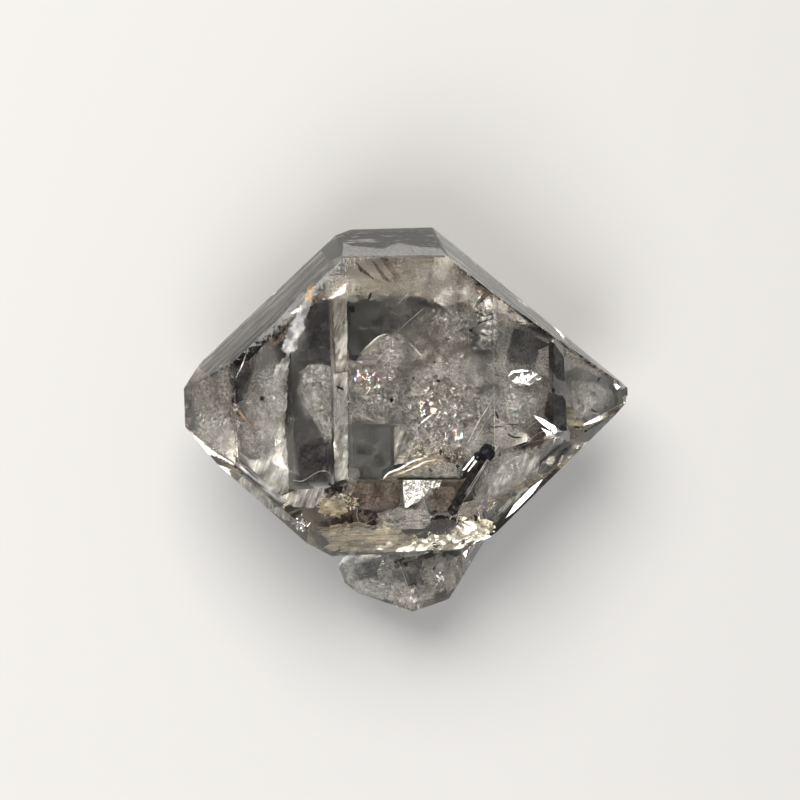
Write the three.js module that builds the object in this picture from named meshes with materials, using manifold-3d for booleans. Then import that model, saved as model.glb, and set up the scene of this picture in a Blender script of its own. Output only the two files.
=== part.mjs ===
import * as THREE from 'three';
import { mergeVertices } from 'three/addons/utils/BufferGeometryUtils.js';
import Module from 'manifold-3d';

// A quartz crystal pointed at both ends (a herkimer diamond) with a small one grown out of its lower side.
// Millimetres and degrees. The growth axis of the large crystal lies along X, and it rests on a prism face at Z = 0.
//
// Each flat face is stated the way a crystal is measured:
//   azimuth   place round the growth axis, 0 = facing up, 90 = facing +Y
//   tilt      angle between the face's outward normal and the +X end of the growth axis
//   distance  from the crystal's centre point to the face, which is what makes one face large and another small
// Quartz gives 90 for the six prism faces and 51.8 or 128.2 for the faces that close the two ends. A degree or
// two either way is the uneven growth of this crystal.

// Sizes of the large crystal
const LARGE_CENTRE = [-3.77, 3.25, 13.45];

const PRISM_FACES = [
  { azimuth: 0.5, tilt: 91, distance: 8.8 },
  { azimuth: 60, tilt: 91, distance: 18 },
  { azimuth: 120.5, tilt: 90, distance: 17.8 },
  { azimuth: 180, tilt: 90, distance: 13.45 },
  { azimuth: 239, tilt: 90.5, distance: 15.8 },
  { azimuth: 300, tilt: 87.5, distance: 19.3 },
];

// The long pointed end. Its top face is a steep one and the face below that a corner face, so this end
// draws out to a narrow tip.
const POINTED_END_FACES = [
  { azimuth: 359.5, tilt: 68.5, distance: 13.3 },
  { azimuth: 61, tilt: 53.5, distance: 19.45 },
  { azimuth: 120, tilt: 52, distance: 19.25 },
  { azimuth: 180, tilt: 52, distance: 18.35 },
  { azimuth: 242.5, tilt: 54.5, distance: 19.2 },
  { azimuth: 339.5, tilt: 64.5, distance: 16.05 },
];

// The blunt end, where the top and bottom faces meet in an upright edge like a chisel
const BLUNT_END_FACES = [
  { azimuth: 359, tilt: 128.5, distance: 18.25 },
  { azimuth: 60, tilt: 128, distance: 16.95 },
  { azimuth: 120, tilt: 128, distance: 15.55 },
  { azimuth: 179.5, tilt: 133.75, distance: 13.95 },
  { azimuth: 239.5, tilt: 129, distance: 16.55 },
  { azimuth: 300.5, tilt: 128.5, distance: 21.75 },
];

// Growth steps: what lies outside both the riser and the tread is missing, which leaves a step as wide as the face.
// One is along the resting face, on the blunt end's side, and the other across the underside of the pointed end.
const STEPS = [
  {
    riser: { azimuth: 179.5, tilt: 129.5, distance: 11.9 },
    tread: { azimuth: 180, tilt: 108, distance: 12.36 },
  },
  {
    riser: { azimuth: 0, tilt: 0, distance: 20.82 },
    tread: { azimuth: 180, tilt: 90, distance: 5.18 },
  },
];

// Sizes of the small crystal: an even-sided one, its growth axis turned towards +Y and rising a little
const SMALL_CENTRE = [0.91, -16.83, 7.43];
const SMALL_TURN = 17.5;
const SMALL_RISE = 7;
const SMALL_FIRST_AZIMUTH = 29.5;
const PRISM_TILT = 90;
const END_TILT = 51.8;
const SMALL_PRISM_DISTANCES = [6.55, 6.3, 6.35, 6.25, 6.7, 7];
const SMALL_RIGHT_DISTANCES = [6.75, 6.7, 6.8, 6.75, 6.8, 7.05];
const SMALL_LEFT_DISTANCES = [6.1, 7.1, 6.75, 5.1, 6.65, 6.45];

// Stock that the crystals are cut from
const LARGE_STOCK = [80, 60, 50];
const SMALL_STOCK = [30, 30, 30];
const CUTTER_SIZE = 160;

// Shallow growth ledges: the corner of a face beyond the two straight steps lies lower by the depth
const TOP_LEDGE = { corner: [5.05, 14.8, 22.3], size: [12, 14, 3], depth: 0.14 };
const POINT_LEDGE = { from: 19.4, length: 14, depth: 0.12 };

// Small shell-shaped chips knocked off edges: middle of the hollow and its radius
const CHIPS = [
  { at: [27.6, 3.75, 15.95], radius: 1.15 },
  { at: [28.35, 1.55, 15.4], radius: 0.8 },
  { at: [-22.5, 0.75, 22.4], radius: 0.8 },
  { at: [-15.05, -13.85, 22.7], radius: 1 },
  { at: [9.8, -15.65, 19.15], radius: 0.9 },
];

// A shallow scoop where a flake has gone from the lower corner face of the pointed end
const SCOOP = { middle: [16.9, -5.75, 18.52], semiAxes: [3.6, 2.3, 0.8], lift: 0.42 };

const CRYSTAL_COLOUR = 0xe9e4da;
const CRYSTAL_ROUGHNESS = 0.04;

function radians(degrees) {
  return (degrees * Math.PI) / 180;
}

function faceNormal({ azimuth, tilt }) {
  const round = radians(azimuth);
  const out = Math.sin(radians(tilt));
  return new THREE.Vector3(
    Math.cos(radians(tilt)),
    out * Math.sin(round),
    out * Math.cos(round),
  );
}

function toSolid(wasm, geometry) {
  const bare = geometry.clone();
  bare.deleteAttribute('normal');
  bare.deleteAttribute('uv');
  const closed = mergeVertices(bare, 1e-5);
  const mesh = new wasm.Mesh({
    numProp: 3,
    vertProperties: new Float32Array(closed.attributes.position.array),
    triVerts: new Uint32Array(closed.index.array),
  });
  return new wasm.Manifold(mesh);
}

function toGeometry(solid) {
  const mesh = solid.getMesh();
  const geometry = new THREE.BufferGeometry();
  geometry.setAttribute('position', new THREE.Float32BufferAttribute(mesh.vertProperties, 3));
  geometry.setIndex([...mesh.triVerts]);
  const faceted = geometry.toNonIndexed();
  faceted.computeVertexNormals();
  return faceted;
}

// A block whose underside lies in the plane of the face, covering everything outside it
function outsideOf(face) {
  const normal = faceNormal(face);
  const block = new THREE.BoxGeometry(CUTTER_SIZE, CUTTER_SIZE, CUTTER_SIZE);
  block.translate(0, 0, CUTTER_SIZE / 2 + face.distance);
  block.applyQuaternion(
    new THREE.Quaternion().setFromUnitVectors(new THREE.Vector3(0, 0, 1), normal),
  );
  return block;
}

function cutCrystal(wasm, stock, faces) {
  let crystal = toSolid(wasm, new THREE.BoxGeometry(...stock));
  for (const face of faces) {
    crystal = crystal.subtract(toSolid(wasm, outsideOf(face)));
  }
  return crystal;
}

function facesAround(distances, tilt, firstAzimuth) {
  return distances.map((distance, index) => ({
    azimuth: firstAzimuth + 60 * index,
    tilt,
    distance,
  }));
}

function makeLargeCrystal(wasm) {
  const faces = [...PRISM_FACES, ...POINTED_END_FACES, ...BLUNT_END_FACES];
  let crystal = cutCrystal(wasm, LARGE_STOCK, faces);
  for (const { riser, tread } of STEPS) {
    const missing = toSolid(wasm, outsideOf(riser)).intersect(toSolid(wasm, outsideOf(tread)));
    crystal = crystal.subtract(missing);
  }
  return crystal.translate(LARGE_CENTRE);
}

function makeSmallCrystal(wasm) {
  const faces = [
    ...facesAround(SMALL_PRISM_DISTANCES, PRISM_TILT, SMALL_FIRST_AZIMUTH),
    ...facesAround(SMALL_RIGHT_DISTANCES, END_TILT, SMALL_FIRST_AZIMUTH),
    ...facesAround(SMALL_LEFT_DISTANCES, 180 - END_TILT, SMALL_FIRST_AZIMUTH),
  ];
  return cutCrystal(wasm, SMALL_STOCK, faces)
    .rotate([0, -SMALL_RISE, SMALL_TURN])
    .translate(SMALL_CENTRE);
}

// The upper right corner of the broad top face, one growth layer lower than the rest of the face
function topLedge(wasm) {
  const [x, y, z] = TOP_LEDGE.corner;
  const [length, width, height] = TOP_LEDGE.size;
  const block = new THREE.BoxGeometry(length, width, height);
  block.translate(x + length / 2, y + width / 2, z - TOP_LEDGE.depth + height / 2);
  return toSolid(wasm, block);
}

// The outer part of the steep top face of the pointed end, one growth layer lower
function pointLedge(wasm) {
  const face = POINTED_END_FACES[0];
  const block = outsideOf({ ...face, distance: face.distance - POINT_LEDGE.depth });
  block.translate(...LARGE_CENTRE);
  const reach = new THREE.BoxGeometry(POINT_LEDGE.length, CUTTER_SIZE, CUTTER_SIZE);
  reach.translate(POINT_LEDGE.from + POINT_LEDGE.length / 2, 0, 0);
  return toSolid(wasm, block).intersect(toSolid(wasm, reach));
}

function chip(wasm, { at, radius }) {
  const hollow = new THREE.IcosahedronGeometry(radius, 2);
  hollow.scale(1.25, 1, 0.8);
  hollow.translate(...at);
  return toSolid(wasm, hollow);
}

// The scoop lies flat on the face, its length along the line where this face meets the one behind it
function scoop(wasm) {
  const normal = faceNormal(POINTED_END_FACES[5]);
  const behind = faceNormal(POINTED_END_FACES[4]);
  const along = new THREE.Vector3().crossVectors(normal, behind).normalize();
  const across = new THREE.Vector3().crossVectors(normal, along);
  const hollow = new THREE.IcosahedronGeometry(1, 10);
  hollow.scale(...SCOOP.semiAxes);
  hollow.translate(0, 0, SCOOP.lift);
  hollow.applyMatrix4(new THREE.Matrix4().makeBasis(along, across, normal));
  hollow.translate(...SCOOP.middle);
  return toSolid(wasm, hollow);
}

async function build() {
  const wasm = await Module();
  wasm.setup();

  let large = makeLargeCrystal(wasm);
  large = large.subtract(topLedge(wasm));
  large = large.subtract(pointLedge(wasm));
  large = large.subtract(scoop(wasm));
  for (const one of CHIPS) {
    large = large.subtract(chip(wasm, one));
  }
  const grownTogether = large.add(makeSmallCrystal(wasm));

  const material = new THREE.MeshStandardMaterial({
    color: CRYSTAL_COLOUR,
    roughness: CRYSTAL_ROUGHNESS,
    metalness: 0,
  });
  const crystal = new THREE.Mesh(toGeometry(grownTogether), material);
  crystal.name = 'herkimer_crystal';

  const part = new THREE.Group();
  part.name = 'herkimer_diamond';
  part.add(crystal);
  return part;
}

export default await build();
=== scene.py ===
import math
import random

import bmesh
import bpy
from mathutils import Matrix, Vector, noise
from mathutils.bvhtree import BVHTree
from mathutils.geometry import delaunay_2d_cdt


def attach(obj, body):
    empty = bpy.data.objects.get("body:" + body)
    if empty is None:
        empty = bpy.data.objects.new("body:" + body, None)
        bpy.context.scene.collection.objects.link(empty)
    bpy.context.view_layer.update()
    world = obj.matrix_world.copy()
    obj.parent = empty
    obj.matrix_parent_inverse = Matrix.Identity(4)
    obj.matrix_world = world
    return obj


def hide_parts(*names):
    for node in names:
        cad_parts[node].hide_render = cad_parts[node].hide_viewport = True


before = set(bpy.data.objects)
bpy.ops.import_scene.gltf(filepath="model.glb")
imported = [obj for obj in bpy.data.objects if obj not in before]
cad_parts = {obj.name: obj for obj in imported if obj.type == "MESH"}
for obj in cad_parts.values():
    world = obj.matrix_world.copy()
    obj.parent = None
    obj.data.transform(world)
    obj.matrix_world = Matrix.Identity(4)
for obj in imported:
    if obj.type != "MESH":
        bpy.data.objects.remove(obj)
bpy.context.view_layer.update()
scene = bpy.context.scene
MM = 0.001
# Blender seeds its vector noise from the clock unless it is told otherwise
noise.seed_set(1)


def show(name, data):
    made = bpy.data.objects.new(name, data)
    scene.collection.objects.link(made)
    return made


def show_mesh(name, bm, material):
    mesh = bpy.data.meshes.new(name)
    bm.to_mesh(mesh)
    bm.free()
    mesh.materials.append(material)
    return show(name, mesh)


# ---------------------------------------------------------------- camera
# The picture's right, up and towards-the-camera directions in the part's frame
RIGHT = Vector((0.9881, -0.03754, 0.14915))
UP = Vector((0.02007, 0.99293, 0.11697))
TOWARD = Vector((-0.15249, -0.11258, 0.98187))
PICTURE = 800
MIDDLE = PICTURE / 2
MM_PER_PIXEL = 0.125
CAMERA_PIXELS = 3508
SENSOR_MM = 36
# The large crystal's centre point, and where the picture shows it
CENTRE = Vector((-3.77, 3.25, 13.45))
CENTRE_SEEN_AT = (375.254, 392.883)
CAMERA_AT = CENTRE + MM_PER_PIXEL * (
    RIGHT * (MIDDLE - CENTRE_SEEN_AT[0])
    + UP * (CENTRE_SEEN_AT[1] - MIDDLE)
    + TOWARD * CAMERA_PIXELS
)


def make_camera():
    data = bpy.data.cameras.new("camera")
    data.sensor_width = SENSOR_MM
    data.lens = SENSOR_MM * CAMERA_PIXELS / PICTURE
    data.clip_start = 0.01
    turn = Matrix((RIGHT, UP, TOWARD)).transposed().to_4x4()
    turn.translation = CAMERA_AT * MM
    scene.camera = show("camera", data)
    scene.camera.matrix_world = turn


make_camera()

# ---------------------------------------------------------------- places inside the crystal
QUARTZ_IOR = 1.544
KEY_LIGHT = dict(azimuth=120, height=58)
FILL_LIGHT = dict(azimuth=-112, height=48)
# The key light only grazes a face where the cosine to its normal is under this
GRAZING = 0.2

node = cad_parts["herkimer_crystal"]
surface = BVHTree.FromPolygons(
    [v.co / MM for v in node.data.vertices],
    [tuple(p.vertices) for p in node.data.polygons],
)


def bend(direction, normal, ratio):
    """The direction of a ray once it has crossed a face."""
    cosine = -direction.dot(normal)
    along_normal = ratio * cosine - math.sqrt(1 - ratio * ratio * (1 - cosine * cosine))
    return ratio * direction + along_normal * normal


def ray_in(x, y):
    """Where the ray through picture place x, y meets the crystal, the face's normal, the direction inside."""
    ray = (RIGHT * (x - MIDDLE) - UP * (y - MIDDLE) - TOWARD * CAMERA_PIXELS).normalized()
    place, normal, _, _ = surface.ray_cast(CAMERA_AT, ray)
    if place is None:
        return None, None, None
    return place, normal, bend(ray, normal, 1 / QUARTZ_IOR)


def inside(x, y, depth):
    """The point that is seen at picture place x, y, at a depth in mm behind the crystal's outer face."""
    place, _, direction = ray_in(x, y)
    return place + direction * depth


def depth_in(point):
    """How far inside the crystal a point lies, in mm; negative outside."""
    nearest, normal, _, _ = surface.find_nearest(point)
    return (nearest - point).dot(normal)


def skyward(azimuth, height):
    """Direction at an azimuth from +X and a height above the floor, in degrees."""
    a, h = math.radians(azimuth), math.radians(height)
    return Vector((math.cos(h) * math.cos(a), math.cos(h) * math.sin(a), math.sin(h)))


def inward(direction, normal):
    """The same direction seen from inside, through a face."""
    return -bend(-direction, normal, 1 / QUARTZ_IOR)


def flash_under(normal):
    """How a crack lies under a face to mirror the key light to the camera, or the fill if that one grazes."""
    lamp = skyward(**KEY_LIGHT)
    if normal.dot(lamp) < GRAZING:
        lamp = skyward(**FILL_LIGHT)
    return (inward(TOWARD, normal) + inward(lamp, normal)).normalized()


# ---------------------------------------------------------------- materials
# What a film's cover follows: two noises multiplied, and how steeply it is seen; then the same for a bubble
GRAIN_RANGE = (0.15, 0.37)
STEEP_RANGE = (0.18, 0.45)
BUBBLE_RANGE = (0.3, 0.8)


def new_material(name, **inputs):
    """A material, its node tree and its surface shader; an input's name has _ for each space."""
    mat = bpy.data.materials.new(name)
    mat.use_nodes = True
    shader = mat.node_tree.nodes["Principled BSDF"]
    for key, value in inputs.items():
        shader.inputs[key.replace("_", " ")].default_value = value
    return mat, mat.node_tree, shader


def add(tree, kind, out=0, **values):
    """The output of a new node. A value is an output wired to an input, an input's number, or a setting."""
    made = tree.nodes.new("ShaderNode" + kind)
    for key, value in values.items():
        if isinstance(value, bpy.types.NodeSocket):
            tree.links.new(value, made.inputs[key])
        elif key in made.inputs:
            made.inputs[key].default_value = value
        else:
            setattr(made, key, value)
    return made.outputs[out]


def combine(tree, operation, first, second, **settings):
    total = add(tree, "Math", operation=operation, **settings)
    for socket, value in zip(total.node.inputs, (first, second)):
        tree.links.new(value, socket)
    return total


def rescale(tree, value, source, target):
    """A value moved from one range to another."""
    ends = zip(("From Min", "From Max", "To Min", "To Max"), (*source, *target))
    return add(tree, "MapRange", Value=value, **dict(ends))


def ramp(tree, value, stops):
    colours = add(tree, "ValToRGB")
    tree.links.new(value, colours.node.inputs[0])
    elements = colours.node.color_ramp.elements
    while len(elements) < len(stops):
        elements.new(0.5)
    for k, (at, colour) in enumerate(stops):
        elements[k].position = at
        elements[k].color = (*colour, 1)
    return colours


def growth_lines(tree, place, scale, detail, roughness):
    """Noise drawn out to lines across the direction of its largest scale."""
    stretched = add(tree, "Mapping", Vector=place, Scale=scale)
    return add(tree, "TexNoise", Vector=stretched, Scale=1, Detail=detail, Roughness=roughness)


def quartz():
    mat, tree, shader = new_material("quartz", Base_Color=(1, 1, 1, 1), IOR=QUARTZ_IOR, Transmission_Weight=1,
                                     Roughness=0)
    place = add(tree, "TexCoord", out="Object")
    along = growth_lines(tree, place, (2400, 260, 260), 3, 0.6)
    across = growth_lines(tree, place, (200, 1900, 1900), 2, 0.5)
    lines = combine(tree, "ADD", along, across)
    relief = add(tree, "Bump", Strength=0.35, Distance=0.00001, Height=lines)
    tree.links.new(relief, shader.inputs["Normal"])
    absorption = add(tree, "VolumeAbsorption", Color=(0.95, 0.88, 0.76, 1), Density=18)
    tree.links.new(absorption, tree.nodes["Material Output"].inputs["Volume"])
    return mat


def film(name, tint, roughness, thin, thick, grain, patch, swirl=1, slanted=0.1, streaks=None, rainbow=False,
         shade=0.62, tones=(0.35, 0.62), crackle=0):
    """
    A film inside the crystal, in a healed crack; some films are painted shade or painted light laid over what
    lies behind them. Its cover runs from thin to thick in patches, and slanted is what a steep view adds.
    Streaks say how its grain is turned, in degrees, and stretched. Its darkest parts have that share of the
    tint that shade says; crackle is how rough its skin is, in metres.
    """
    mat, tree, shader = new_material(name, Metallic=1, Roughness=roughness)
    place = along = add(tree, "TexCoord", out="Object")
    if streaks:
        along = add(tree, "Mapping", vector_type="TEXTURE", Vector=place,
                    Rotation=(0, 0, math.radians(streaks[0])), Scale=(streaks[1], 1, 1))
    fine = add(tree, "TexNoise", Vector=along, Scale=grain, Detail=6, Roughness=0.68)
    coarse = add(tree, "TexNoise", Vector=place, Scale=patch, Detail=4, Roughness=0.6, Distortion=swirl)
    body = rescale(tree, combine(tree, "MULTIPLY", fine, coarse), GRAIN_RANGE, (thin, thick))
    facing = add(tree, "LayerWeight", out="Facing", Blend=0.5)
    cover = combine(tree, "ADD", body, rescale(tree, facing, STEEP_RANGE, (0, slanted)), use_clamp=True)
    fade = add(tree, "Attribute", out="Fac", attribute_name="fade")
    tree.links.new(combine(tree, "MULTIPLY", cover, fade), shader.inputs["Alpha"])
    if rainbow:
        bands = add(tree, "TexNoise", Vector=place, Scale=patch * 1.7, Detail=2)
        colours = ramp(tree, bands, [
            (0.32, (0.5, 0.62, 0.88)),
            (0.42, (0.78, 0.5, 0.82)),
            (0.48, (0.95, 0.74, 0.45)),
            (0.55, (0.93, 0.9, 0.84)),
            (0.62, (0.52, 0.74, 0.66)),
            (0.7, (0.72, 0.48, 0.78)),
        ])
    else:
        colours = ramp(tree, fine, [(tones[0], [c * shade for c in tint]), (tones[1], tint)])
    tree.links.new(colours, shader.inputs["Base Color"])
    if crackle:
        facets = add(tree, "TexNoise", Vector=place, Scale=800, Detail=3, Roughness=0.5, Distortion=2.6)
        relief = add(tree, "Bump", Strength=1, Distance=crackle, Height=facets)
        tree.links.new(relief, shader.inputs["Normal"])
    return mat


def solid(name, dark, light, roughness, metallic=0, scale=900, specular=0.5):
    """An opaque mineral, mottled between two tones."""
    mat, tree, shader = new_material(name, Metallic=metallic, Roughness=roughness,
                                     Specular_IOR_Level=specular)
    place = add(tree, "TexCoord", out="Object")
    grain = add(tree, "TexNoise", Vector=place, Scale=scale, Detail=4)
    tree.links.new(ramp(tree, grain, [(0.35, dark), (0.65, light)]), shader.inputs["Base Color"])
    return mat


def bubble():
    """A gas-filled gap: seen only round its rim, where it mirrors."""
    mat, tree, shader = new_material("bubble", Metallic=1, Roughness=0.05, Base_Color=(0.80, 0.80, 0.78, 1))
    facing = add(tree, "LayerWeight", out="Facing", Blend=0.5)
    tree.links.new(rescale(tree, facing, BUBBLE_RANGE, (0.04, 0.75)), shader.inputs["Alpha"])
    return mat


QUARTZ = quartz()
# Name, tint, roughness, thin and thick cover, scale of the grain and of the patches
HAZE = film("haze", (0.84, 0.82, 0.77), 0.6, 0.12, 0.62, 3600, 220, swirl=2.2)
WARM_HAZE = film("warm_haze", (0.9, 0.85, 0.77), 0.6, 0.22, 0.72, 4600, 330, swirl=2.4)
BEIGE_HAZE = film("beige_haze", (0.58, 0.52, 0.46), 0.55, 0.35, 0.85, 3000, 260, swirl=1.6, shade=0.4)
STREAKY_HAZE = film("streaky_haze", (0.82, 0.8, 0.74), 0.45, 0.25, 0.85, 2600, 260, streaks=(68, 9))
# Streaks along the outline, their film darkened as painted shade
EDGE_STREAKS_AND_PAINTED_SHADE = film("edge_streaks_and_painted_shade", (0.42, 0.4, 0.37), 0.5, 0.8, 1, 1500, 300, streaks=(43, 12), shade=0.2,
                    tones=(0.44, 0.6))
# Painted shade: a film that is mostly dark, with thin pale streaks, for the bands along the outline
PAINTED_EDGE_SHADES = film("painted_edge_shades", (0.8, 0.78, 0.74), 0.4, 0.8, 1, 1500, 300, streaks=(-40, 18), shade=0.05,
                   tones=(0.5, 0.64))
DUST = film("dust", (0.74, 0.73, 0.71), 0.65, 0.04, 0.26, 6000, 260, swirl=1.5, slanted=0.05)
CRACKLE = film("crackle", (0.98, 0.95, 0.89), 0.28, 0.2, 0.9, 2600, 420, swirl=2, slanted=0.2,
               crackle=0.0005)
# A pale film: a whitish veil band, and a painted reflection under the top face
PALE_VEIL_AND_PAINTED_LIGHT = film("pale_veil_and_painted_light", (0.74, 0.73, 0.73), 0.5, 0.85, 1, 2600, 330)
# Wisps over painted shade: nearly black between light streaks, for the dark upper band of the top face
WISPS_AND_PAINTED_SHADE = film("wisps_and_painted_shade", (0.74, 0.72, 0.69), 0.4, 0.9, 1, 900, 500, swirl=2, streaks=(2, 4), shade=0.01,
             tones=(0.55, 0.66))
CRACK = film("crack", (0.84, 0.81, 0.75), 0.25, 0.02, 0.4, 2600, 320, swirl=1.8, slanted=0.5)
SPARK = film("spark", (0.9, 0.86, 0.78), 0.3, 0.2, 0.9, 2600, 500, slanted=0.2)
BRIGHT = film("bright_crack", (0.95, 0.92, 0.86), 0.26, 0.6, 1, 2200, 500, slanted=0.3, shade=0.5,
              crackle=0.0002)
MIRROR = film("mirror_crack", (0.97, 0.96, 0.94), 0.2, 0.8, 1, 1600, 500, slanted=0.2, shade=0.75)
RAINBOW = film("rainbow_crack", (1, 1, 1), 0.18, 0.1, 0.7, 2600, 450, slanted=0.4, rainbow=True)
GOLD = film("golden_crack", (0.92, 0.78, 0.55), 0.35, 0.2, 0.9, 2400, 420, slanted=0.2)
GOLD_LINES = film("golden_lines", (0.96, 0.85, 0.64), 0.7, 0.45, 1, 1500, 380, slanted=0.2, streaks=(-3, 12),
                  shade=0.35)
CREAM = film("cream", (1, 0.92, 0.73), 0.34, 0.9, 1, 1300, 420, slanted=0.2, streaks=(12, 3), shade=0.72,
             tones=(0.38, 0.56), crackle=0.00003)
# Painted shade: a near-black film laid inside the crystal to darken its windows and bands inside its outline
PAINTED_SHADE = film("painted_shade", (0.05, 0.045, 0.045), 0.4, 0.62, 1, 2000, 420)
# Painted shade: a grey film that darkens the windows and the top of the small crystal
GREY_PAINTED_SHADE = film("grey_painted_shade", (0.16, 0.155, 0.155), 0.5, 0.5, 0.9, 2000, 300)
BROWN_SMOKE = film("brown_smoke", (0.2, 0.155, 0.12), 0.45, 0.45, 0.95, 2200, 420)
# Name, dark and light tone, roughness
CARBON = solid("carbon", (0.008, 0.008, 0.012), (0.035, 0.032, 0.036), 0.4, specular=0.35)
ROD = solid("rod_skin", (0.02, 0.018, 0.018), (0.1, 0.085, 0.075), 0.38, metallic=1, scale=1400)
HEAD = solid("rod_head", (0.014, 0.014, 0.02), (0.06, 0.06, 0.085), 0.22, metallic=1, scale=1800)
CLUSTER = solid("dark_cluster", (0.02, 0.012, 0.013), (0.13, 0.075, 0.075), 0.35, metallic=0.8)
STAIN = solid("iron_stain", (0.62, 0.36, 0.1), (0.92, 0.66, 0.26), 0.6, metallic=1)
BROWN = solid("brown_needle", (0.2, 0.15, 0.1), (0.38, 0.3, 0.21), 0.5, metallic=1)
EDGE = solid("crack_edge", (0.62, 0.59, 0.53), (0.98, 0.95, 0.88), 0.3, metallic=1)
BUBBLE = bubble()


# ---------------------------------------------------------------- mesh helpers
# Noise scales for a sheet's outline, for how its ripples wander, for the broad and fine unevenness of sheets
# and patches, and for a patch's rim
OUTLINE_SCALE = 2.2
RIPPLE_SCALE = 1.5
SHEET_SCALES = (0.55, 1.9)
PATCH_SCALES = (0.6, 2.1)
FINE_SHARE = 0.3
RIM_SCALE = 0.35
# Where a sheet's ripples spread from, in half sizes
RIPPLES_FROM = (-0.6, 0)
# How far inside the crystal's surface, in mm, the things in it end
MARGIN = 0.12


def trim(bm, margin):
    """Drops whatever comes too near the crystal's surface, and scales mm to metres."""
    out = [v for v in bm.verts if depth_in(v.co) < margin]
    bmesh.ops.delete(bm, geom=out, context="VERTS")
    loose = [v for v in bm.verts if not v.link_faces]
    bmesh.ops.delete(bm, geom=loose, context="VERTS")
    for v in bm.verts:
        v.co *= MM


def piece(name, bm, material, smooth=True, margin=MARGIN):
    """A piece of the crystal that rides on its body; points that have no fade yet keep their full cover."""
    if margin:
        trim(bm, margin)
    if not bm.verts.layers.float.get("fade"):
        fade = bm.verts.layers.float.new("fade")
        for v in bm.verts:
            v[fade] = 1
    ob = show_mesh(name, bm, material)
    for p in ob.data.polygons:
        p.use_smooth = smooth
    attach(ob, "root")
    return ob


def turn_to(tilt, towards, spin):
    """Rotation that tips a level sheet by tilt degrees towards an azimuth, spun in its plane."""
    lean = Matrix.Rotation(math.radians(towards), 3, "Z") @ Matrix.Rotation(math.radians(tilt), 3, "Y")
    return lean @ Matrix.Rotation(math.radians(spin), 3, "Z")


def add_sheet(bm, at, size, tilt=0, towards=0, spin=0, dome=0, ripple=0, waves=6, rough=0.6, ragged=0.2,
              step=0.3, soft=0.4, seed=0):
    """A curved crack surface with shell-like ripples that spread from one side, and a ragged outline."""
    fade = bm.verts.layers.float["fade"]
    middle, turn = inside(*at), turn_to(tilt, towards, spin)
    columns, rows = [max(5, int(2 * s / step)) for s in size]
    shift = Vector((seed * 7.31, seed * 3.17, seed * 1.93))

    def bumps(x, y, scale, layer):
        return noise.noise(Vector((x * scale, y * scale, layer)) + shift)

    grid = {}
    for i in range(columns + 1):
        for j in range(rows + 1):
            u, v = 2 * i / columns - 1, 2 * j / rows - 1
            x, y = u * size[0], v * size[1]
            r = math.hypot(u, v)
            edge = 1 - ragged * (0.5 + bumps(u, v, OUTLINE_SCALE, 0))
            if r > edge:
                continue
            run = math.hypot((u - RIPPLES_FROM[0]) * size[0], (v - RIPPLES_FROM[1]) * size[1])
            w = dome * (1 - r * r)
            w += ripple * math.sin(run * waves + 1.5 * bumps(u, v, RIPPLE_SCALE, 3))
            w += rough * bumps(x, y, SHEET_SCALES[0], 7)
            w += FINE_SHARE * rough * bumps(x, y, SHEET_SCALES[1], 9)
            grid[i, j] = bm.verts.new(middle + turn @ Vector((x, y, w)))
            grid[i, j][fade] = min(1, (edge - r) / soft)
    for (i, j), a in grid.items():
        corners = [grid.get(k) for k in ((i + 1, j), (i + 1, j + 1), (i, j + 1))]
        if all(corners):
            bm.faces.new((a, *corners))


def add_patch(bm, rim, depth, flash=False, rough=0.2, fuzz=1, step=2, soft=0, seed=0):
    """A sheet with a given rim in the picture, level with the face over it or lying so that it flashes."""
    fade = bm.verts.layers.float["fade"]
    shift = Vector((seed * 5.3, seed * 2.9, seed * 1.7))
    outline = []
    for a, b in zip(rim, rim[1:] + rim[:1]):
        n = max(1, round(math.dist(a, b) / step))
        outline += [Vector(a).lerp(Vector(b), t / n) for t in range(n)]
    outline = [p + fuzz * noise.noise_vector(p.to_3d() * RIM_SCALE + shift).xy for p in outline]
    x0, x1 = min(p.x for p in outline), max(p.x for p in outline)
    y0, y1 = min(p.y for p in outline), max(p.y for p in outline)
    place, normal, direction = ray_in(*(sum((Vector(p) for p in rim), Vector((0, 0))) / len(rim)))
    middle = place + direction * depth
    facing = flash_under(normal) if flash else normal
    grid = [
        Vector((x0 + step * (i + 0.5), y0 + step * (j + 0.5)))
        for i in range(int((x1 - x0) / step)) for j in range(int((y1 - y0) / step))
    ]
    flat, _, faces, *_ = delaunay_2d_cdt(outline + grid, [], [list(range(len(outline)))], 1, 1e-4)
    made = {}
    for k in dict.fromkeys(k for face in faces for k in face):
        place, _, direction = ray_in(*flat[k])
        if place is None:
            made[k] = None
            continue
        spot = place + direction * ((middle - place).dot(facing) / direction.dot(facing))
        broad, fine = [noise.noise(spot * scale + shift) for scale in PATCH_SCALES]
        made[k] = bm.verts.new(spot + facing * (rough * broad + FINE_SHARE * rough * fine))
        made[k][fade] = min(1, min((flat[k] - p).length for p in outline) / soft) if soft else 1
    for face in faces:
        if all(made[k] for k in face):
            bm.faces.new([made[k] for k in face])


def films(name, material, add_film, rows, **usual):
    """A piece made of films, a film for each row; usual holds the values that the rows share."""
    bm = bmesh.new()
    bm.verts.layers.float.new("fade")
    for seed, row in enumerate(rows, 1):
        add_film(bm, seed=seed, **{**usual, **row})
    piece(name, bm, material)


def sheets(name, material, rows, **usual):
    films(name, material, add_sheet, rows, **usual)


def patches(name, material, rows, **usual):
    films(name, material, add_patch, rows, **usual)


def lying(normal, spin):
    """Rotation that lays a level thing across a normal, spun in its plane."""
    return normal.to_track_quat("Z", "Y").to_matrix() @ Matrix.Rotation(math.radians(spin), 3, "Z")


def near(rng, aim, scatter):
    """A direction near the given one, off by a random amount of about scatter degrees."""
    off = math.tan(math.radians(scatter))
    return (aim + Vector((rng.gauss(0, off), rng.gauss(0, off), 0))).normalized()


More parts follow.
